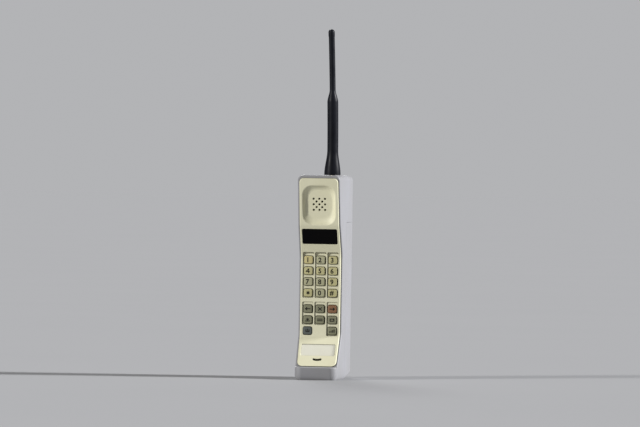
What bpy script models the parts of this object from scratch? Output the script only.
"""An early hand-held mobile phone: an upright brick with a rubber antenna on top.

Units are metres, +Z is up, the front faces -Y and +X is the right-hand side seen from the front.
The origin is the middle of the base. Along the phone, positions are given as a height above the
base. Through it, they are given as a depth measured forward from the flat back plane.
"""

import math

import bmesh
import bpy

MM = 0.001
CLEAR = 0.3 * MM

# Overall size
BODY_HEIGHT = 193.5 * MM
BODY_DEPTH = 86.0 * MM
BACK_WIDTH = 44.5 * MM
SIDE_DRAFT = 2.25 / 86.0
ANTENNA_LENGTH = 139.0 * MM

# The front's side view, from the chin up: depth, height and corner radius
FRONT_CORNERS = (
    (78.2 * MM, 13.0 * MM, 0.0),
    (58.0 * MM, 42.0 * MM, 12.0 * MM),
    (58.0 * MM, 117.0 * MM, 14.0 * MM),
    (72.8 * MM, 146.0 * MM, 14.0 * MM),
    (83.0 * MM, 190.5 * MM, 0.0),
)

# Housing
WALL = 2.5 * MM
REAR_WALL = 2.2 * MM
TOP_WALL = 4.7 * MM
COVER_PROUD = 1.8 * MM
RIM = 1.7 * MM
RIM_RADIUS = 1.5 * MM
LEDGE = 1.3 * MM
TOP_RADIUS = 5.0 * MM
TOP_FRONT_RADIUS = 2.5 * MM
BACK_RADIUS = 3.0 * MM
FOOT_INSET = 2.0 * MM
FOOT_HEIGHT = 3.6 * MM
PLINTH_HEIGHT = 12.1 * MM
PLINTH_RADIUS = 7.0 * MM
PLINTH_EDGE = 1.2 * MM

# Front cover
COVER_BOTTOM = 13.0 * MM
COVER_TOP = 190.5 * MM
COVER_THICKNESS = 3.6 * MM
COVER_CORNER = 4.0 * MM
COVER_EDGE = 0.8 * MM

# Earpiece dish
DISH_HEIGHT = 165.0 * MM
DISH_SIZE = (31.7 * MM, 39.0 * MM)
DISH_FLOOR = (23.2 * MM, 26.0 * MM)
DISH_DEPTH = 3.6 * MM
DISH_WALL = 2.2 * MM
HOLE_STEP = 2.7 * MM
HOLE_RADIUS = 1.0 * MM

# Display
WINDOW_HEIGHT = 135.2 * MM
WINDOW_SIZE = (33.0 * MM, 15.6 * MM)
WINDOW_THICKNESS = 1.2 * MM
WINDOW_SUNK = 0.2 * MM
SIGHT_SIZE = (28.0 * MM, 11.0 * MM)

# Keypad
COLUMN_PITCH = 11.66 * MM
ROW_HEIGHTS = [h * MM for h in (113.1, 102.7, 92.4, 81.8, 66.7, 56.3, 45.9)]
KEY_ROWS = (
    ("1", "2", "3"),
    ("4", "5", "6"),
    ("7", "8", "9"),
    ("star", "0", "hash"),
    ("recall", "clear", "send"),
    ("store", "function", "end"),
    ("power", None, "volume"),
)
KEY_SIZE = (8.3 * MM, 7.3 * MM)
KEY_RADIUS = 1.6 * MM
KEY_GAP = 0.45 * MM
KEY_PROUD = 0.6 * MM
KEY_FLANGE = 0.9 * MM
KEY_FLANGE_THICKNESS = 1.0 * MM
KEY_TRAVEL = 0.8 * MM
TROUGH_DEPTH = 1.0 * MM
TROUGH_WIDTH = 10.5 * MM

# Nameplate and microphone slot
NAMEPLATE_HEIGHT = 28.1 * MM
NAMEPLATE_SIZE = (32.2 * MM, 12.8 * MM)
NAMEPLATE_THICKNESS = 0.7 * MM
NAMEPLATE_SUNK = 0.4 * MM
MIC_HEIGHT = 19.3 * MM
MIC_SLOT = (8.6 * MM, 2.0 * MM)

# Battery pack
PACK_DEPTH = 36.0 * MM
PACK_TOP = 149.0 * MM
PACK_HEEL = 3.2 * MM
PACK_FOOT = 7.0 * MM
PACK_WALL = 2.2 * MM
PACK_FLOOR = 6.0 * MM
PACK_TRAVEL = 14.0 * MM
CELL_RADIUS = 9.3 * MM
CELL_LENGTH = 43.0 * MM
LID_INSET = 1.2 * MM
HOOK_STEM = (3.0 * MM, 3.2 * MM)
HOOK_LIP = (7.0 * MM, 4.0 * MM)
HOOK_LIP_THICKNESS = 1.4 * MM
HOOK_PLAY = 0.5 * MM
HOOK_PLACES = [(x * MM, z * MM) for z in (30.0, 118.0) for x in (-12.0, 12.0)]
TERMINAL_HEIGHT = 62.0 * MM
TERMINAL_SPACING = 16.0 * MM
PIN_RADIUS = 1.5 * MM
PIN_HEAD_RADIUS = 2.6 * MM

# Battery latch
LATCH_HEIGHT = 133.0 * MM
LATCH_TRAVEL = 2.5 * MM
SHELF_HEIGHT = 111.7 * MM

# Antenna
ANTENNA_X = 7.0 * MM
ANTENNA_DEPTH = 38.0 * MM
FLARE_RADIUS = 7.8 * MM
SLEEVE_RADIUS = 5.2 * MM
WHIP_RADIUS = 2.85 * MM
STUD_RADIUS = 3.0 * MM
BUSH_RADIUS = 4.7 * MM

# Fastening
SCREW_PLACES = [(x * MM, z * MM) for z in (18.0, 143.0) for x in (-14.2, 14.2)]
SCREW_RADIUS = 1.25 * MM
SCREW_HEAD_RADIUS = 2.4 * MM
SCREW_HEAD_SINK = 1.0 * MM
POST_RADIUS = 2.8 * MM

# Inside the housing
BOARD_THICKNESS = 1.6 * MM
DUPLEXER_PLACE = -8.5 * MM
RADIO_BOARD_PLACE = 16.0 * MM


# ---------------------------------------------------------------- measures


def y_at(depth):
    """The Y of a depth measured forward from the back plane."""
    return BODY_DEPTH / 2 - depth


def half_width(depth):
    """Half the body's width at a depth: the sides narrow towards the front."""
    return BACK_WIDTH / 2 - SIDE_DRAFT * depth


def rounded_corner(before, corner, after, radius, steps):
    """The arc that rounds one corner of an outline, as steps + 1 points."""
    to_before = [b - c for b, c in zip(before, corner)]
    to_after = [a - c for a, c in zip(after, corner)]
    before_length = math.hypot(*to_before)
    after_length = math.hypot(*to_after)
    unit_before = [v / before_length for v in to_before]
    unit_after = [v / after_length for v in to_after]
    half_angle = math.acos(sum(b * a for b, a in zip(unit_before, unit_after))) / 2
    bisector = [b + a for b, a in zip(unit_before, unit_after)]
    bisector_length = math.hypot(*bisector)
    unit_bisector = [v / bisector_length for v in bisector]
    reach = radius / math.sin(half_angle)
    centre = [c + reach * u for c, u in zip(corner, unit_bisector)]
    tangent = radius / math.tan(half_angle)
    start = [c + tangent * u - m for c, u, m in zip(corner, unit_before, centre)]
    sideways = [u * radius for u in unit_before]
    sweep = math.pi - 2 * half_angle
    points = []
    for step in range(steps + 1):
        angle = sweep * step / steps
        points.append(
            tuple(
                m + s * math.cos(angle) - w * math.sin(angle)
                for m, s, w in zip(centre, start, sideways)
            )
        )
    return points


def front_path(steps=4):
    """The front's side view as points (depth, height) with its corners rounded."""
    places = [corner[:2] for corner in FRONT_CORNERS]
    path = [places[0]]
    for index in range(1, len(places) - 1):
        radius = FRONT_CORNERS[index][2]
        path += rounded_corner(*places[index - 1 : index + 2], radius, steps)
    return path + [places[-1]]


FRONT_PATH = front_path()


def face_depth(height):
    """The cover's front face at a height, carried on straight past its ends."""
    index = 1
    while index < len(FRONT_PATH) - 1 and FRONT_PATH[index][1] < height:
        index += 1
    low, high = FRONT_PATH[index - 1 : index + 1]
    share = (height - low[1]) / (high[1] - low[1])
    return low[0] + share * (high[0] - low[0])


def face_tilt(height):
    """How far the front leans out over the ground at a height, as an angle."""
    step = 0.5 * MM
    rise = face_depth(height + step) - face_depth(height - step)
    return math.atan2(rise, 2 * step)


# ---------------------------------------------------------------- outlines


def rounded_polygon(corners, radii, steps):
    points = []
    for index, corner in enumerate(corners):
        before = corners[index - 1]
        after = corners[(index + 1) % len(corners)]
        points += rounded_corner(before, corner, after, radii[index], steps)
    return points


def rounded_rectangle(size, radius, steps=3):
    x, z = size[0] / 2, size[1] / 2
    corners = [(-x, -z), (x, -z), (x, z), (-x, z)]
    return rounded_polygon(corners, [radius] * 4, steps)


def circle(radius, steps):
    angles = [2 * math.pi * (step + 0.5) / steps for step in range(steps)]
    return [(radius * math.cos(a), radius * math.sin(a)) for a in angles]


def plan_outline(front, rear, front_radius, rear_radius, inset=0.0, steps=3):
    """The body's outline seen from above, between two depths, inside its drafted sides."""
    corners = [
        (-half_width(rear) + inset, y_at(rear)),
        (-half_width(front) + inset, y_at(front)),
        (half_width(front) - inset, y_at(front)),
        (half_width(rear) - inset, y_at(rear)),
    ]
    radii = [rear_radius, front_radius, front_radius, rear_radius]
    return rounded_polygon(corners, radii, steps)


def plan_trapezoid(front, rear, inset):
    """The same outline with sharp corners."""
    front_half = half_width(front) - inset
    rear_half = half_width(rear) - inset
    return [
        (-rear_half, y_at(rear)),
        (-front_half, y_at(front)),
        (front_half, y_at(front)),
        (rear_half, y_at(rear)),
    ]


def level(outline, z):
    """An outline in plan, laid at a height."""
    return [(x, y, z) for x, y in outline]


def upright(outline, y, x=0.0, z=0.0):
    """An outline seen from the front, stood at one Y."""
    return [(x + across, y, z + up) for across, up in outline]


# ---------------------------------------------------------------- solids


def add_loft(mesh, rings):
    """Skins a stack of rings with the same number of points, and closes both ends."""
    rows = [[mesh.verts.new(point) for point in ring] for ring in rings]
    for low, high in zip(rows, rows[1:]):
        for index in range(len(low)):
            after = (index + 1) % len(low)
            mesh.faces.new((low[index], low[after], high[after], high[index]))
    mesh.faces.new(rows[0])
    mesh.faces.new(rows[-1])


def box_rings(low, high):
    corners = [(low[0], low[1]), (high[0], low[1]), (high[0], high[1]), (low[0], high[1])]
    return [level(corners, low[2]), level(corners, high[2])]


def turned_rings(profile, steps):
    """The rings of a shape turned about Z, from points (radius, height)."""
    return [level(circle(radius, steps), z) for radius, z in profile]


def solid(name, lofts, surface=None, smooth=False):
    """One object made of one or more lofts. Without a surface it is a cutter."""
    mesh = bmesh.new()
    for rings in lofts:
        add_loft(mesh, rings)
    bmesh.ops.remove_doubles(mesh, verts=mesh.verts, dist=0.001 * MM)
    bmesh.ops.recalc_face_normals(mesh, faces=mesh.faces)
    data = bpy.data.meshes.new(name)
    mesh.to_mesh(data)
    mesh.free()
    if smooth:
        data.shade_smooth()
        data.set_sharp_from_angle(angle=math.radians(35))
    made = bpy.data.objects.new(name, data)
    bpy.context.collection.objects.link(made)
    if surface:
        data.materials.append(surface)
    else:
        made.hide_render = True
        made.display_type = "WIRE"
    return made


def place(piece, x=0.0, y=0.0, z=0.0, tilt=0.0):
    piece.location = (x, y, z)
    piece.rotation_euler = (tilt, 0.0, 0.0)
    return piece


def place_on_face(piece, height):
    """Sets a piece made upright, with the face at Y = 0, on the sloping front."""
    return place(piece, y=y_at(face_depth(height)), z=height, tilt=face_tilt(height))


def combine(target, tool, operation):
    modifier = target.modifiers.new(tool.name, "BOOLEAN")
    modifier.operation = operation
    modifier.object = tool


def cut(target, tool):
    combine(target, tool, "DIFFERENCE")


def join(target, tool):
    combine(target, tool, "UNION")


def hang_from(pieces, name, x, y, z):
    """An empty on a joint's axis that carries the pieces moved by the joint."""
    empty = bpy.data.objects.new(name, None)
    bpy.context.collection.objects.link(empty)
    empty.location = (x, y, z)
    for piece in pieces:
        piece.parent = empty
        piece.location = [p - e for p, e in zip(piece.location, empty.location)]
    return empty


# ---------------------------------------------------------------- materials


def material(name, colour, roughness, metallic=0.0):
    made = bpy.data.materials.new(name)
    made.use_nodes = True
    shader = made.node_tree.nodes["Principled BSDF"]
    shader.inputs["Base Color"].default_value = (*colour, 1.0)
    shader.inputs["Roughness"].default_value = roughness
    shader.inputs["Metallic"].default_value = metallic
    return made


def make_materials():
    return {
        "housing_plastic": material("housing_plastic", (0.72, 0.72, 0.75), 0.45),
        "cover_plastic": material("cover_plastic", (0.62, 0.60, 0.46), 0.45),
        "window_plastic": material("window_plastic", (0.004, 0.004, 0.005), 0.08),
        "nameplate_plastic": material("nameplate_plastic", (0.74, 0.73, 0.68), 0.4),
        "number_key_plastic": material("number_key_plastic", (0.55, 0.52, 0.30), 0.4),
        "function_key_plastic": material("function_key_plastic", (0.30, 0.30, 0.24), 0.4),
        "send_key_plastic": material("send_key_plastic", (0.33, 0.17, 0.11), 0.4),
        "power_key_plastic": material("power_key_plastic", (0.20, 0.23, 0.26), 0.4),
        "antenna_rubber": material("antenna_rubber", (0.018, 0.018, 0.02), 0.5),
        "mat_rubber": material("mat_rubber", (0.12, 0.12, 0.13), 0.7),
        "circuit_board": material("circuit_board", (0.03, 0.16, 0.07), 0.5),
        "display_red": material("display_red", (0.20, 0.01, 0.01), 0.3),
        "black_plastic": material("black_plastic", (0.02, 0.02, 0.02), 0.5),
        "foam": material("foam", (0.05, 0.05, 0.05), 0.9),
        "aluminium": material("aluminium", (0.60, 0.61, 0.62), 0.4, 1.0),
        "tinned_steel": material("tinned_steel", (0.55, 0.55, 0.54), 0.35, 1.0),
        "spring_steel": material("spring_steel", (0.45, 0.45, 0.46), 0.3, 1.0),
        "brass": material("brass", (0.72, 0.52, 0.20), 0.3, 1.0),
        "cell_sleeve": material("cell_sleeve", (0.05, 0.12, 0.30), 0.4),
    }


# ---------------------------------------------------------------- housing


def housing_outer_rings():
    """The housing's skin, level by level: foot, plinth, front slopes and rounded top."""
    back = PACK_DEPTH + CLEAR
    rear_edge = 0.2 * MM

    def ring(z, front, rear=back, radius=RIM_RADIUS, rear_radius=rear_edge, inset=0.0):
        return level(plan_outline(front, rear, radius, rear_radius, inset), z)

    foot_front = BODY_DEPTH - FOOT_INSET
    rings = [
        ring(0.0, foot_front, radius=PLINTH_RADIUS - FOOT_INSET, inset=FOOT_INSET),
        ring(FOOT_HEIGHT, BODY_DEPTH, radius=PLINTH_RADIUS),
        ring(PLINTH_HEIGHT - PLINTH_EDGE, BODY_DEPTH, radius=PLINTH_RADIUS),
        ring(PLINTH_HEIGHT, BODY_DEPTH - PLINTH_EDGE, radius=PLINTH_RADIUS - PLINTH_EDGE),
        ring(PLINTH_HEIGHT + CLEAR, face_depth(PLINTH_HEIGHT) - COVER_PROUD),
    ]
    pack_ceiling = PACK_TOP + CLEAR
    for depth, height in FRONT_PATH[1:-1]:
        if height < pack_ceiling:
            rings.append(ring(height, depth - COVER_PROUD))
    ceiling_rise = pack_ceiling + CLEAR
    rings.append(ring(pack_ceiling, face_depth(pack_ceiling) - COVER_PROUD))
    rear_front = face_depth(ceiling_rise) - COVER_PROUD
    rings.append(ring(ceiling_rise, rear_front, rear=0.0, rear_radius=BACK_RADIUS))
    steps = 4
    for step in range(steps + 1):
        angle = math.pi / 2 * step / steps
        z = BODY_HEIGHT - TOP_RADIUS * (1 - math.sin(angle))
        inset = TOP_RADIUS * (1 - math.cos(angle))
        front = face_depth(z) - COVER_PROUD - TOP_FRONT_RADIUS * (1 - math.cos(angle))
        rings.append(ring(z, front, rear=inset, rear_radius=BACK_RADIUS, inset=inset))
    return rings


def housing_cavity_rings():
    """The room inside the housing: full depth behind the plinth and above the battery."""
    wall_inset = RIM + LEDGE
    shallow = PACK_DEPTH + CLEAR + REAR_WALL
    plinth_front = BODY_DEPTH - 3 * MM
    sill_front = face_depth(COVER_BOTTOM) - COVER_THICKNESS - 2.6 * MM
    opening_overlap = COVER_THICKNESS - 0.6 * MM
    cavity_top = BODY_HEIGHT - TOP_WALL
    room_floor = PACK_TOP + CLEAR + WALL

    def ring(z, front, rear=shallow):
        return level(plan_trapezoid(front, rear, wall_inset), z)

    rings = [
        ring(WALL, plinth_front),
        ring(PLINTH_HEIGHT - 2.8 * MM, plinth_front),
        ring(PLINTH_HEIGHT - 2.4 * MM, sill_front),
        ring(COVER_BOTTOM + LEDGE - 0.2 * MM, sill_front),
        ring(COVER_BOTTOM + LEDGE, face_depth(COVER_BOTTOM + LEDGE) - opening_overlap),
    ]
    for depth, height in FRONT_PATH[1:-1]:
        if height < room_floor:
            rings.append(ring(height, depth - opening_overlap))
    rings.append(ring(room_floor, face_depth(room_floor) - opening_overlap))
    floor_rise = room_floor + CLEAR
    rings.append(ring(floor_rise, face_depth(floor_rise) - opening_overlap, rear=WALL))
    rings.append(ring(cavity_top, face_depth(cavity_top) - opening_overlap, rear=WALL))
    return rings


def hook_rings():
    """The hooks on the housing's back that the battery pack slides onto."""
    lofts = []
    root = y_at(PACK_DEPTH + CLEAR + REAR_WALL / 2)
    lip_start = y_at(PACK_DEPTH - PACK_WALL - CLEAR - 0.2 * MM)
    lip_end = lip_start + HOOK_LIP_THICKNESS
    for x, z in HOOK_PLACES:
        stem = rounded_rectangle(HOOK_STEM, 0.2 * MM, 1)
        lip = rounded_rectangle(HOOK_LIP, 0.2 * MM, 1)
        lofts.append(
            [
                upright(stem, root, x, z),
                upright(stem, lip_start, x, z),
                upright(lip, lip_start, x, z),
                upright(lip, lip_end, x, z),
            ]
        )
    return lofts


def make_housing(surfaces):
    housing = solid("main_housing", [housing_outer_rings()], surfaces["housing_plastic"])
    cut(housing, solid("cavity_cutter", [housing_cavity_rings()]))
    cut(housing, solid("cover_recess_cutter", [cover_rings(CLEAR, 12 * MM, CLEAR)]))
    join(housing, solid("hook_tool", hook_rings()))
    holes = []
    outside = y_at(PACK_DEPTH - 1 * MM)
    inside = y_at(PACK_DEPTH + CLEAR + REAR_WALL + 1 * MM)
    sink = y_at(PACK_DEPTH + CLEAR + REAR_WALL - SCREW_HEAD_SINK)
    for x, z in SCREW_PLACES:
        shaft = circle(SCREW_RADIUS + CLEAR, 8)
        head = circle(SCREW_HEAD_RADIUS + CLEAR, 8)
        rings = [
            upright(shaft, inside, x, z),
            upright(shaft, sink, x, z),
            upright(head, sink, x, z),
            upright(head, outside, x, z),
        ]
        holes.append(rings)
    for side in (-0.5, 0.5):
        pin = circle(PIN_RADIUS + CLEAR, 8)
        x = side * TERMINAL_SPACING
        holes.append([upright(pin, y, x, TERMINAL_HEIGHT) for y in (inside, outside)])
    bush_ends = (BODY_HEIGHT - TOP_WALL - 4 * MM, BODY_HEIGHT + 2.5 * MM)
    bush = turned_rings([(BUSH_RADIUS + CLEAR, z) for z in bush_ends], 16)
    cut(housing, solid("rear_hole_cutter", holes))
    antenna_hole = place(solid("antenna_hole_cutter", [bush]), ANTENNA_X, y_at(ANTENNA_DEPTH))
    cut(housing, antenna_hole)


# ---------------------------------------------------------------- front cover


def cover_rings(grow, forward, sunk):
    """The cover as a stack of plan rings, narrower within its rounded ends.

    The recess that takes it is the same stack with clearance, carried forward out of the housing.
    """
    low = COVER_BOTTOM - grow
    high = COVER_TOP + grow
    radius = COVER_CORNER + grow
    steps = 4
    heights = []
    for step in range(steps):
        rise = radius * (1 - math.cos(math.pi / 2 * step / steps))
        heights += [low + rise, high - rise]
    heights += [low + radius, high - radius]
    heights += [z for _, z in FRONT_PATH if low + radius < z < high - radius]
    rings = []
    for z in sorted(heights):
        depth = face_depth(z)
        from_end = min(z - low, high - z, radius)
        rounding = radius - math.sqrt(max(0.0, radius**2 - (radius - from_end) ** 2))
        half = half_width(depth) - RIM + grow - rounding
        rear = y_at(depth - COVER_THICKNESS - sunk)
        face = y_at(depth + forward)
        plan = [
            (-half, rear),
            (-half, face + COVER_EDGE),
            (COVER_EDGE - half, face),
            (half - COVER_EDGE, face),
            (half, face + COVER_EDGE),
            (half, rear),
        ]
        rings.append(level(plan, z))
    return rings


def dish_rings():
    """The earpiece dish: a rounded square that slopes in to a flat floor."""
    over = 2.0 * MM
    slope = [(outer - floor) / DISH_DEPTH for outer, floor in zip(DISH_SIZE, DISH_FLOOR)]
    mouth = [outer + run * over for outer, run in zip(DISH_SIZE, slope)]
    return [
        upright(rounded_rectangle(mouth, 10.5 * MM, 4), -over),
        upright(rounded_rectangle(DISH_SIZE, 9.5 * MM, 4), 0.0),
        upright(rounded_rectangle(DISH_FLOOR, 8.5 * MM, 4), DISH_DEPTH),
    ]


def earpiece_hole_places():
    places = []
    for row in range(-2, 3):
        across = (-2, 0, 2) if row % 2 == 0 else (-1, 1)
        places += [(column * HOLE_STEP, row * HOLE_STEP) for column in across]
    return places


def key_places():
    """Every key's name, X and height."""
    places = []
    for names, height in zip(KEY_ROWS, ROW_HEIGHTS):
        for column, name in enumerate(names):
            if name:
                places.append((name, (column - 1) * COLUMN_PITCH, height))
    return places


def trough_rings():
    """The shallow channels that the columns of keys sit in, above and below the gap."""
    floor = y_at(FRONT_CORNERS[1][0] - TROUGH_DEPTH)
    over = y_at(FRONT_CORNERS[1][0] + 8 * MM)
    number_ends = (ROW_HEIGHTS[3] - 4.7 * MM, ROW_HEIGHTS[0] + 7.2 * MM)
    function_top = ROW_HEIGHTS[4] + 6.6 * MM
    short_end = ROW_HEIGHTS[5] - 4.7 * MM
    long_end = ROW_HEIGHTS[6] - 4.7 * MM
    spans = [(column, *number_ends) for column in (-1, 0, 1)]
    spans += [(column, short_end, function_top) for column in (-1, 0)]
    spans.append((1, long_end, function_top))
    lofts = []
    for column, low, high in spans:
        outline = rounded_rectangle((TROUGH_WIDTH, high - low), 1.2 * MM, 2)
        middle = (low + high) / 2
        lofts.append([upright(outline, y, column * COLUMN_PITCH, middle) for y in (floor, over)])
    return lofts


def make_cover(surfaces):
    cover = solid("front_cover", [cover_rings(0.0, 0.0, 0.0)], surfaces["cover_plastic"])

    boss_size = [side + 6 * MM for side in DISH_FLOOR]
    boss_outline = rounded_rectangle(boss_size, 10 * MM, 4)
    boss_ends = (COVER_THICKNESS - 1 * MM, DISH_DEPTH + DISH_WALL)
    boss = solid("dish_boss_tool", [[upright(boss_outline, y) for y in boss_ends]])
    join(cover, place_on_face(boss, DISH_HEIGHT))

    posts = []
    for x, z in SCREW_PLACES:
        ends = (y_at(face_depth(z) - COVER_THICKNESS + 1 * MM), y_at(PACK_DEPTH + 3.2 * MM))
        posts.append([upright(circle(POST_RADIUS, 10), y, x, z) for y in ends])
    join(cover, solid("post_tool", posts))

    cut(cover, place_on_face(solid("dish_cutter", [dish_rings()]), DISH_HEIGHT))
    hole_ends = (DISH_DEPTH - 1 * MM, DISH_DEPTH + DISH_WALL + 1 * MM)
    holes = [
        [upright(circle(HOLE_RADIUS, 8), y, x, z) for y in hole_ends]
        for x, z in earpiece_hole_places()
    ]
    cut(cover, place_on_face(solid("earpiece_hole_cutter", holes), DISH_HEIGHT))

    seat_size = [side + 2 * CLEAR for side in WINDOW_SIZE]
    seat_depth = WINDOW_SUNK + WINDOW_THICKNESS + CLEAR
    seat_outline = rounded_rectangle(seat_size, 1.5 * MM)
    sight_outline = rounded_rectangle(SIGHT_SIZE, 1.0 * MM)
    window_cut = [
        upright(seat_outline, -3 * MM),
        upright(seat_outline, seat_depth),
        upright(sight_outline, seat_depth),
        upright(sight_outline, 7 * MM),
    ]
    cut(cover, place_on_face(solid("window_cutter", [window_cut]), WINDOW_HEIGHT))

    cut(cover, solid("trough_cutter", trough_rings()))
    opening = rounded_rectangle([side + 2 * KEY_GAP for side in KEY_SIZE], KEY_RADIUS + KEY_GAP)
    key_ends = (y_at(FRONT_CORNERS[1][0] + 4 * MM), y_at(FRONT_CORNERS[1][0] - 5 * MM))
    openings = [[upright(opening, y, x, z) for y in key_ends] for _, x, z in key_places()]
    cut(cover, solid("key_opening_cutter", openings))

    plate_seat = rounded_rectangle([side + 2 * CLEAR for side in NAMEPLATE_SIZE], 1.5 * MM)
    plate_ends = (-3 * MM, NAMEPLATE_SUNK + NAMEPLATE_THICKNESS + CLEAR)
    plate_cut = solid("nameplate_cutter", [[upright(plate_seat, y) for y in plate_ends]])
    cut(cover, place_on_face(plate_cut, NAMEPLATE_HEIGHT))
    slot = rounded_rectangle(MIC_SLOT, 0.9 * MM)
    slot_cut = solid("mic_slot_cutter", [[upright(slot, y) for y in (-3 * MM, 6 * MM)]])
    cut(cover, place_on_face(slot_cut, MIC_HEIGHT))

    pilots = []
    for x, z in SCREW_PLACES:
        ends = (y_at(PACK_DEPTH), y_at(PACK_DEPTH + 12 * MM))
        pilots.append([upright(circle(SCREW_RADIUS + CLEAR, 8), y, x, z) for y in ends])
    cut(cover, solid("pilot_hole_cutter", pilots))


def make_window(surfaces):
    outline = rounded_rectangle(WINDOW_SIZE, 1.2 * MM)
    rings = [upright(outline, y) for y in (WINDOW_SUNK, WINDOW_SUNK + WINDOW_THICKNESS)]
    window = solid("display_window", [rings], surfaces["window_plastic"])
    place_on_face(window, WINDOW_HEIGHT)


def make_nameplate(surfaces):
    outline = rounded_rectangle(NAMEPLATE_SIZE, 1.2 * MM)
    rings = [upright(outline, y) for y in (NAMEPLATE_SUNK, NAMEPLATE_SUNK + NAMEPLATE_THICKNESS)]
    plate = solid("nameplate", [rings], surfaces["nameplate_plastic"])
    place_on_face(plate, NAMEPLATE_HEIGHT)


# ---------------------------------------------------------------- keypad


def key_surface(name, surfaces):
    special = {"send": "send_key_plastic", "power": "power_key_plastic"}
    if name in special:
        return surfaces[special[name]]
    if name.isdigit() or name in ("star", "hash"):
        return surfaces["number_key_plastic"]
    return surfaces["function_key_plastic"]


def make_keys(surfaces):
    """Caps with a soft front edge and a flange behind the cover that keeps each one in."""
    face = FRONT_CORNERS[1][0]
    flange_front = COVER_THICKNESS + CLEAR
    edge = 0.5 * MM
    rings = []
    for y, grow in (
        (-KEY_PROUD, -edge),
        (edge - KEY_PROUD, 0.0),
        (flange_front, 0.0),
        (flange_front, KEY_FLANGE),
        (flange_front + KEY_FLANGE_THICKNESS, KEY_FLANGE),
    ):
        size = [side + 2 * grow for side in KEY_SIZE]
        radius = KEY_RADIUS if grow <= 0 else KEY_RADIUS - 0.6 * MM
        rings.append(upright(rounded_rectangle(size, radius, 2), y))
    for name, x, z in key_places():
        key = solid("key_" + name, [rings], key_surface(name, surfaces), smooth=True)
        place(key, x, y_at(face), z)


def make_key_mat(surfaces):
    """An elastomer sheet with one dome under each key."""
    flange_rear = FRONT_CORNERS[1][0] - COVER_THICKNESS - CLEAR - KEY_FLANGE_THICKNESS
    dome_top = y_at(flange_rear - KEY_TRAVEL - CLEAR)
    sheet_front = dome_top + 0.6 * MM
    sheet_rear = sheet_front + 1.0 * MM
    low = (-17.4 * MM, sheet_front, 38.0 * MM)
    high = (17.4 * MM, sheet_rear, 121.0 * MM)
    mat = solid("key_mat", [box_rings(low, high)], surfaces["mat_rubber"])
    domes = []
    for _, x, z in key_places():
        domes.append(
            [
                upright(circle(2.2 * MM, 8), dome_top, x, z),
                upright(circle(3.0 * MM, 8), sheet_front + 0.4 * MM, x, z),
            ]
        )
    join(mat, solid("dome_tool", domes))
    return sheet_rear


# ---------------------------------------------------------------- inside the housing


def make_board(name, low, high, blocks, surfaces):
    """A circuit board with the components that stand on it."""
    board = solid(name, [box_rings(low, high)], surfaces["circuit_board"])
    join(board, solid(name + "_tool", [box_rings(*block) for block in blocks]))
    return board


def make_keypad_board(surfaces, mat_rear):
    front = mat_rear + CLEAR
    rear = front + BOARD_THICKNESS
    chips = []
    for z in (52.0 * MM, 74.0 * MM, 98.0 * MM):
        chips.append(((-6 * MM, rear - 0.5 * MM, z), (6 * MM, rear + 1.8 * MM, z + 9 * MM)))
    low, high = (-17.5 * MM, front, 37.0 * MM), (17.5 * MM, rear, 122.0 * MM)
    make_board("keypad_board", low, high, chips, surfaces)


def make_logic_board(surfaces):
    front, rear = -BOARD_THICKNESS, 0.0
    chips = []
    for row, (half, tall) in enumerate(((8.5, 14.0), (6.0, 18.0), (8.5, 10.0), (5.0, 14.0))):
        z = (30.0 + 27.0 * row) * MM
        low = (-half * MM, front - 1.5 * MM, z)
        high = (half * MM, front + 0.5 * MM, z + tall * MM)
        chips.append((low, high))
    low, high = (-17.0 * MM, front, 23.0 * MM), (17.0 * MM, rear, 138.5 * MM)
    make_board("logic_board", low, high, chips, surfaces)


def make_chassis(surfaces):
    """The plate that carries the boards, lightened by two windows."""
    low, high = (-17.4 * MM, 1.2 * MM, 22.5 * MM), (17.4 * MM, 2.4 * MM, 139.0 * MM)
    plate = solid("chassis_plate", [box_rings(low, high)], surfaces["aluminium"])
    windows = []
    for z in (78.0 * MM, 108.0 * MM):
        outline = rounded_rectangle((20 * MM, 22 * MM), 3 * MM)
        windows.append([upright(outline, y, 0.0, z) for y in (0.0, 4 * MM)])
    cut(plate, solid("chassis_window_cutter", windows))


def make_earpiece(surfaces):
    """The receiver capsule and the foam ring that seals it to the dish."""
    seal_front = DISH_DEPTH + DISH_WALL + CLEAR
    seal_rear = seal_front + 1.5 * MM
    outer = [upright(circle(12.6 * MM, 16), y) for y in (seal_front, seal_rear)]
    inner = [upright(circle(9.6 * MM, 16), y) for y in (0.0, 20 * MM)]
    gasket = solid("earpiece_gasket", [outer], surfaces["foam"])
    cut(gasket, place_on_face(solid("gasket_bore_cutter", [inner]), DISH_HEIGHT))
    place_on_face(gasket, DISH_HEIGHT)

    front = seal_rear + CLEAR
    rings = []
    for y, radius in ((0.0, 12.0), (0.8, 13.2), (4.6, 13.2), (5.4, 9.0), (8.6, 9.0)):
        rings.append(upright(circle(radius * MM, 20), front + y * MM))
    speaker = solid("earpiece_speaker", [rings], surfaces["black_plastic"], smooth=True)
    place_on_face(speaker, DISH_HEIGHT)


def make_display(surfaces):
    """The row of light-emitting digits behind the window, and its board."""
    front = COVER_THICKNESS + 1.2 * MM
    rear = front + 4 * MM
    board_front = rear + CLEAR
    board_rear = board_front + BOARD_THICKNESS
    digit_outline = rounded_rectangle((22 * MM, 8 * MM), 0.5 * MM, 1)
    board_outline = rounded_rectangle((23 * MM, 10 * MM), 0.5 * MM, 1)
    digit_rings = [upright(digit_outline, y) for y in (front, rear)]
    board_rings = [upright(board_outline, y) for y in (board_front, board_rear)]
    place_on_face(solid("display_digits", [digit_rings], surfaces["display_red"]), WINDOW_HEIGHT)
    place_on_face(solid("display_board", [board_rings], surfaces["circuit_board"]), WINDOW_HEIGHT)


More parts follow.
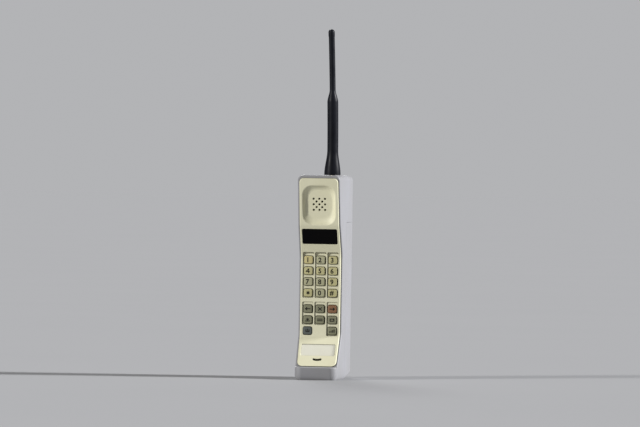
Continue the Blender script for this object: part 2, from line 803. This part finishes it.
def make_microphone(surfaces):
    """A small capsule in a rubber boot, a little above the chin's slot, with a port down to it."""
    height = MIC_HEIGHT + 3.0 * MM
    boot_radius, capsule_radius = 5.0 * MM, 3.4 * MM
    boot_front = COVER_THICKNESS + CLEAR
    boot_rear = boot_front + 7.5 * MM
    floor = boot_front + 1.5 * MM
    sleeve = [upright(circle(boot_radius, 16), y) for y in (boot_front, boot_rear)]
    boot = solid("microphone_boot", [sleeve], surfaces["mat_rubber"])
    pocket_ends = (floor, boot_rear + 1 * MM)
    pocket = [upright(circle(capsule_radius + CLEAR, 16), y) for y in pocket_ends]
    port_ends = (boot_front - 1 * MM, floor + 1 * MM)
    port = [upright(circle(1.6 * MM, 8), y, z=-1.6 * MM) for y in port_ends]
    for name, rings in (("boot_pocket_cutter", pocket), ("boot_port_cutter", port)):
        cut(boot, place_on_face(solid(name, [rings]), height))
    place_on_face(boot, height)
    capsule_ends = (floor + CLEAR, boot_rear - CLEAR)
    capsule = [upright(circle(capsule_radius, 16), y) for y in capsule_ends]
    microphone = solid("microphone", [capsule], surfaces["tinned_steel"], smooth=True)
    place_on_face(microphone, height)


def make_radio(surfaces):
    """The radio's board with its screening can, and the filter block ahead of them."""
    front, rear = RADIO_BOARD_PLACE, RADIO_BOARD_PLACE + BOARD_THICKNESS
    low, high = (-17.0 * MM, front, 154.0 * MM), (17.0 * MM, rear, 186.0 * MM)
    blocks = []
    for z in (158.0 * MM, 172.0 * MM):
        blocks.append(((-14 * MM, rear - 0.5 * MM, z), (14 * MM, rear + 2 * MM, z + 8 * MM)))
    make_board("radio_board", low, high, blocks, surfaces)

    wall = 0.8 * MM
    can_low = (-15.5 * MM, front - 10.0 * MM, 154.5 * MM)
    can_high = (15.5 * MM, front - CLEAR, 181.5 * MM)
    room_low = [side + wall for side in can_low]
    room_high = (can_high[0] - wall, can_high[1] + 1 * MM, can_high[2] - wall)
    shield = solid("radio_shield", [box_rings(can_low, can_high)], surfaces["tinned_steel"])
    cut(shield, solid("shield_cutter", [box_rings(room_low, room_high)]))

    half = (14.0 * MM, 5.5 * MM)
    block_low, block_high, tuner_high = 153.0 * MM, 169.0 * MM, 170.5 * MM
    block = box_rings(
        (-half[0], DUPLEXER_PLACE - half[1], block_low),
        (half[0], DUPLEXER_PLACE + half[1], block_high),
    )
    duplexer = solid("duplexer", [block], surfaces["tinned_steel"])
    tuners = []
    for index in range(4):
        post = turned_rings([(1.6 * MM, block_high - 0.5 * MM), (1.6 * MM, tuner_high)], 8)
        x = (index - 1.5) * 7 * MM
        tuners.append([[(px + x, py + DUPLEXER_PLACE, pz) for px, py, pz in ring] for ring in post])
    join(duplexer, solid("tuner_tool", tuners))


def make_terminals(surfaces):
    """Two headed pins in the housing's back that meet the battery pack's pads."""
    wall_inside = y_at(PACK_DEPTH + CLEAR + REAR_WALL)
    wall_outside = y_at(PACK_DEPTH + CLEAR)
    for name, side in (("left", -0.5), ("right", 0.5)):
        rings = [
            upright(circle(PIN_HEAD_RADIUS, 10), wall_inside - 1.6 * MM),
            upright(circle(PIN_HEAD_RADIUS, 10), wall_inside - CLEAR),
            upright(circle(PIN_RADIUS, 10), wall_inside - CLEAR),
            upright(circle(PIN_RADIUS, 10), wall_outside),
        ]
        pin = solid("battery_terminal_" + name, [rings], surfaces["brass"], smooth=True)
        place(pin, x=side * TERMINAL_SPACING, z=TERMINAL_HEIGHT)


def make_screws(surfaces):
    """Screws through the housing's back into the cover's posts."""
    head_seat = y_at(PACK_DEPTH + CLEAR + REAR_WALL - SCREW_HEAD_SINK) + CLEAR
    for index, (x, z) in enumerate(SCREW_PLACES):
        rings = [
            upright(circle(SCREW_RADIUS, 8), head_seat - 9 * MM),
            upright(circle(SCREW_RADIUS, 8), head_seat),
            upright(circle(SCREW_HEAD_RADIUS, 8), head_seat),
            upright(circle(SCREW_HEAD_RADIUS, 8), head_seat + 0.8 * MM),
        ]
        screw = solid(f"cover_screw_{index + 1}", [rings], surfaces["tinned_steel"], smooth=True)
        place(screw, x=x, z=z)


# ---------------------------------------------------------------- battery pack


def pack_outer_rings():
    """The pack's case: the body's sides carried back, on a flat foot whose heel then rises."""
    front = PACK_DEPTH
    heel_start = y_at(PACK_DEPTH - PACK_FOOT)
    heel_run = PACK_DEPTH - PACK_FOOT

    def lifted(outline, z):
        return [(x, y, z + PACK_HEEL * max(0.0, y - heel_start) / heel_run) for x, y in outline]

    def with_foot(outline):
        """The outline with a point on each side where the heel starts."""
        points = []
        for index, (x, y) in enumerate(outline):
            after_x, after_y = outline[(index + 1) % len(outline)]
            points.append((x, y))
            if (y - heel_start) * (after_y - heel_start) < 0:
                share = (heel_start - y) / (after_y - y)
                points.append((x + share * (after_x - x), heel_start))
        return points

    foot = with_foot(plan_outline(front, FOOT_INSET, 0.2 * MM, BACK_RADIUS, FOOT_INSET))
    body = with_foot(plan_outline(front, 0.0, 0.2 * MM, BACK_RADIUS))
    return [lifted(foot, 0.0), lifted(body, FOOT_HEIGHT), level(body, PACK_TOP)]


def make_pack_case(surfaces):
    case = solid("battery_case", [pack_outer_rings()], surfaces["housing_plastic"])
    ahead = PACK_DEPTH + 3 * MM
    seat_rear = PACK_DEPTH - PACK_WALL - CLEAR
    seat = [
        level(plan_trapezoid(ahead, seat_rear, LID_INSET), z)
        for z in (PACK_FLOOR - 1.5 * MM, PACK_TOP - 1.2 * MM)
    ]
    room = [
        level(plan_trapezoid(seat_rear + 1 * MM, PACK_WALL, PACK_WALL + 0.4 * MM), z)
        for z in (PACK_FLOOR + 1.2 * MM, PACK_TOP - 2.4 * MM)
    ]
    cut(case, solid("lid_seat_cutter", [seat]))
    cut(case, solid("pack_room_cutter", [room]))
    button = box_rings(
        (-7.6 * MM, y_at(4 * MM), LATCH_HEIGHT - 4.2 * MM - LATCH_TRAVEL - 0.5 * MM),
        (7.6 * MM, y_at(-1 * MM), LATCH_HEIGHT + 4.8 * MM),
    )
    tooth = box_rings(
        (-4.5 * MM, y_at(5.0 * MM), PACK_TOP - 4 * MM),
        (4.5 * MM, y_at(2.0 * MM), PACK_TOP + 2 * MM),
    )
    cut(case, solid("latch_button_cutter", [button]))
    cut(case, solid("latch_tooth_cutter", [tooth]))
    shelf = box_rings(
        (-5 * MM, y_at(7 * MM), SHELF_HEIGHT - 1.7 * MM), (5 * MM, y_at(1 * MM), SHELF_HEIGHT)
    )
    join(case, solid("spring_shelf_tool", [shelf]))
    return case


def make_pack_lid(surfaces):
    """The pack's front plate, slotted for the housing's hooks and holding the contact pads."""
    inset = LID_INSET + CLEAR
    rings = [
        level(plan_trapezoid(PACK_DEPTH, PACK_DEPTH - PACK_WALL, inset), z)
        for z in (PACK_FLOOR - 1.5 * MM + CLEAR, PACK_TOP - 1.2 * MM - CLEAR)
    ]
    lid = solid("battery_lid", [rings], surfaces["housing_plastic"])
    ends = (y_at(PACK_DEPTH + 2 * MM), y_at(PACK_DEPTH - PACK_WALL - 2 * MM))
    slots = []
    windows = []
    for x, z in HOOK_PLACES:
        slot_size = (HOOK_STEM[0] + 2 * HOOK_PLAY, HOOK_LIP[1] + PACK_TRAVEL + 2 * HOOK_PLAY)
        slot = rounded_rectangle(slot_size, 0.3 * MM, 1)
        slots.append([upright(slot, y, x, z + PACK_TRAVEL / 2) for y in ends])
        window_size = [side + 2 * HOOK_PLAY for side in HOOK_LIP]
        window = rounded_rectangle(window_size, 0.3 * MM, 1)
        windows.append([upright(window, y, x, z + PACK_TRAVEL + 0.2 * MM) for y in ends])
    cut(lid, solid("hook_slot_cutter", slots))
    cut(lid, solid("hook_window_cutter", windows))
    pockets = []
    pad_ends = (y_at(PACK_DEPTH + 2 * MM), y_at(PACK_DEPTH - 1.1 * MM))
    for side in (-0.5, 0.5):
        outline = rounded_rectangle((6.6 * MM, 8.6 * MM), 0.5 * MM, 1)
        x = side * TERMINAL_SPACING
        pockets.append([upright(outline, y, x, TERMINAL_HEIGHT) for y in pad_ends])
    cut(lid, solid("pad_pocket_cutter", pockets))
    return lid


def make_pack_contacts(surfaces):
    pads = []
    for name, side in (("left", -0.5), ("right", 0.5)):
        outline = rounded_rectangle((6.0 * MM, 8.0 * MM), 0.5 * MM, 1)
        rings = [upright(outline, y) for y in (y_at(PACK_DEPTH), y_at(PACK_DEPTH - 0.8 * MM))]
        pad = solid("pack_contact_" + name, [rings], surfaces["brass"])
        pads.append(place(pad, x=side * TERMINAL_SPACING, z=TERMINAL_HEIGHT))
    return pads


def make_cells(surfaces):
    """Six sleeved cells in two stacks of three, each with a raised end."""
    cells = []
    first = PACK_FLOOR + 1.7 * MM
    for index in range(6):
        column, row = index % 2, index // 2
        rings = turned_rings(
            [
                (CELL_RADIUS, 0.0),
                (CELL_RADIUS, CELL_LENGTH - 1.5 * MM),
                (CELL_RADIUS - 4 * MM, CELL_LENGTH - 1.5 * MM),
                (CELL_RADIUS - 4 * MM, CELL_LENGTH - 0.3 * MM),
            ],
            16,
        )
        cell = solid(f"battery_cell_{index + 1}", [rings], surfaces["cell_sleeve"], smooth=True)
        x = (column - 0.5) * 2 * (CELL_RADIUS + CLEAR)
        cells.append(place(cell, x, y_at(18 * MM), first + row * (CELL_LENGTH + CLEAR)))
    return cells


def make_latch(surfaces):
    """The release button in the pack's back, with its guide plate and tooth behind the wall."""
    plate_front, plate_rear = y_at(4.4 * MM), y_at(PACK_WALL + 0.4 * MM)
    plate = box_rings(
        (-9 * MM, plate_front, LATCH_HEIGHT - 11 * MM), (9 * MM, plate_rear, LATCH_HEIGHT + 9 * MM)
    )
    latch = solid("battery_latch", [plate], surfaces["black_plastic"])
    button = box_rings(
        (-7 * MM, plate_rear - 0.5 * MM, LATCH_HEIGHT - 4.2 * MM),
        (7 * MM, y_at(0.3 * MM), LATCH_HEIGHT + 4.2 * MM),
    )
    tooth = box_rings(
        (-4 * MM, plate_front, LATCH_HEIGHT + 8 * MM), (4 * MM, plate_rear, PACK_TOP - 0.2 * MM)
    )
    join(latch, solid("button_tool", [button]))
    join(latch, solid("tooth_tool", [tooth]))
    return latch


def make_latch_spring(surfaces):
    """A small compression spring between the case's shelf and the latch's plate."""
    low = SHELF_HEIGHT + CLEAR
    high = LATCH_HEIGHT - 11 * MM - CLEAR
    wire = 0.35 * MM
    radius = 1.6 * MM
    turns, steps = 4, 10
    curve = bpy.data.curves.new("latch_spring", "CURVE")
    curve.dimensions = "3D"
    curve.bevel_depth = wire
    curve.bevel_resolution = 1
    curve.use_fill_caps = True
    spline = curve.splines.new("POLY")
    spline.points.add(turns * steps)
    for index in range(turns * steps + 1):
        angle = 2 * math.pi * index / steps
        z = low + wire + (high - low - 2 * wire) * index / (turns * steps)
        spline.points[index].co = (radius * math.cos(angle), radius * math.sin(angle), z, 1.0)
    curve.materials.append(surfaces["spring_steel"])
    spring = bpy.data.objects.new("latch_spring", curve)
    bpy.context.collection.objects.link(spring)
    return place(spring, y=y_at(5.2 * MM))


def make_battery(surfaces):
    pieces = [make_pack_case(surfaces), make_pack_lid(surfaces)]
    pieces += make_pack_contacts(surfaces)
    pieces += make_cells(surfaces)
    return pieces


# ---------------------------------------------------------------- antenna


def eased(share):
    """A slow start and a slow end between 0 and 1."""
    return (1 - math.cos(math.pi * share)) / 2


def sheath_profile():
    """The rubber sheath's outside, from its flared foot up to its rounded cap."""
    foot = BODY_HEIGHT + CLEAR
    flare_end, taper_start, taper_end = 24 * MM, 69.5 * MM, 81.5 * MM
    cap_start, tip_start = 131.5 * MM, 136 * MM
    cap_radius = WHIP_RADIUS + 0.2 * MM
    profile = []
    for step in range(6):
        share = step / 5
        radius = FLARE_RADIUS + (SLEEVE_RADIUS - FLARE_RADIUS) * eased(share)
        profile.append((radius, foot + (flare_end - CLEAR) * share))
    for step in range(5):
        share = step / 4
        radius = SLEEVE_RADIUS + (WHIP_RADIUS - SLEEVE_RADIUS) * eased(share)
        profile.append((radius, BODY_HEIGHT + taper_start + (taper_end - taper_start) * share))
    profile.append((WHIP_RADIUS, BODY_HEIGHT + cap_start))
    profile.append((cap_radius, BODY_HEIGHT + cap_start + 1 * MM))
    for step in range(4):
        angle = math.radians(75) * step / 3
        rise = (ANTENNA_LENGTH - tip_start) * math.sin(angle) / math.sin(math.radians(75))
        profile.append((cap_radius * math.cos(angle), BODY_HEIGHT + tip_start + rise))
    return profile


def make_antenna(surfaces):
    x, y = ANTENNA_X, y_at(ANTENNA_DEPTH)
    foot = BODY_HEIGHT + CLEAR
    sides = 16
    washer_radius, head_radius, rod_radius = 6.8 * MM, 5.0 * MM, 1.2 * MM
    washer_top = foot + 1.0 * MM
    head_low = washer_top + CLEAR
    head_high = head_low + 7.5 * MM
    rod_low = head_high + CLEAR
    rod_high = BODY_HEIGHT + 130 * MM

    socket = [
        (BUSH_RADIUS, BODY_HEIGHT - 10.5 * MM),
        (BUSH_RADIUS, BODY_HEIGHT - 7.5 * MM),
        (6.5 * MM, BODY_HEIGHT - 7.5 * MM),
        (6.5 * MM, BODY_HEIGHT - TOP_WALL - CLEAR),
        (BUSH_RADIUS, BODY_HEIGHT - TOP_WALL - CLEAR),
        (BUSH_RADIUS, BODY_HEIGHT - 0.2 * MM),
    ]
    bush = solid("antenna_socket", [turned_rings(socket, sides)], surfaces["brass"], smooth=True)
    bore = [(STUD_RADIUS + CLEAR, z) for z in (BODY_HEIGHT - 9 * MM, BODY_HEIGHT + 2 * MM)]
    cut(bush, place(solid("socket_bore_cutter", [turned_rings(bore, sides)]), x, y))
    place(bush, x, y)

    washer = [(washer_radius, foot), (washer_radius, washer_top)]
    seal_rings = turned_rings(washer, sides)
    seal = solid("antenna_washer", [seal_rings], surfaces["mat_rubber"], smooth=True)
    hole = [(STUD_RADIUS + CLEAR, z) for z in (foot - 1 * MM, washer_top + 1 * MM)]
    cut(seal, place(solid("washer_hole_cutter", [turned_rings(hole, sides)]), x, y))
    place(seal, x, y)

    stud = [
        (STUD_RADIUS, BODY_HEIGHT - 8 * MM),
        (STUD_RADIUS, head_low),
        (head_radius, head_low),
        (head_radius, head_high),
    ]
    screw = solid("antenna_stud", [turned_rings(stud, sides)], surfaces["brass"], smooth=True)
    rod = [(rod_radius, rod_low), (rod_radius, rod_high)]
    core = solid("antenna_rod", [turned_rings(rod, 8)], surfaces["spring_steel"], smooth=True)

    hollow = [
        (rod_radius + CLEAR, rod_high + CLEAR),
        (rod_radius + CLEAR, head_high + CLEAR),
        (head_radius + CLEAR, head_high + CLEAR),
        (head_radius + CLEAR, washer_top + CLEAR),
        (washer_radius + CLEAR, washer_top + CLEAR),
        (washer_radius + CLEAR, foot),
    ]
    skin = [turned_rings(hollow + sheath_profile(), sides)]
    sheath = solid("antenna_sheath", skin, surfaces["antenna_rubber"], smooth=True)
    for piece in (screw, core, sheath):
        place(piece, x, y)


# ---------------------------------------------------------------- assembly


def main():
    for leftover in list(bpy.data.objects):
        bpy.data.objects.remove(leftover)
    surfaces = make_materials()
    make_housing(surfaces)
    make_cover(surfaces)
    make_window(surfaces)
    make_nameplate(surfaces)
    make_keys(surfaces)
    make_keypad_board(surfaces, make_key_mat(surfaces))
    make_logic_board(surfaces)
    make_chassis(surfaces)
    make_earpiece(surfaces)
    make_display(surfaces)
    make_microphone(surfaces)
    make_radio(surfaces)
    make_terminals(surfaces)
    make_screws(surfaces)
    make_antenna(surfaces)
    latch_pieces = [make_latch(surfaces), make_latch_spring(surfaces)]
    latch = hang_from(latch_pieces, "latch_guide", 0.0, y_at(PACK_WALL), LATCH_HEIGHT)
    hang_from(make_battery(surfaces) + [latch], "battery_rail", 0.0, y_at(PACK_DEPTH), 0.0)


main()
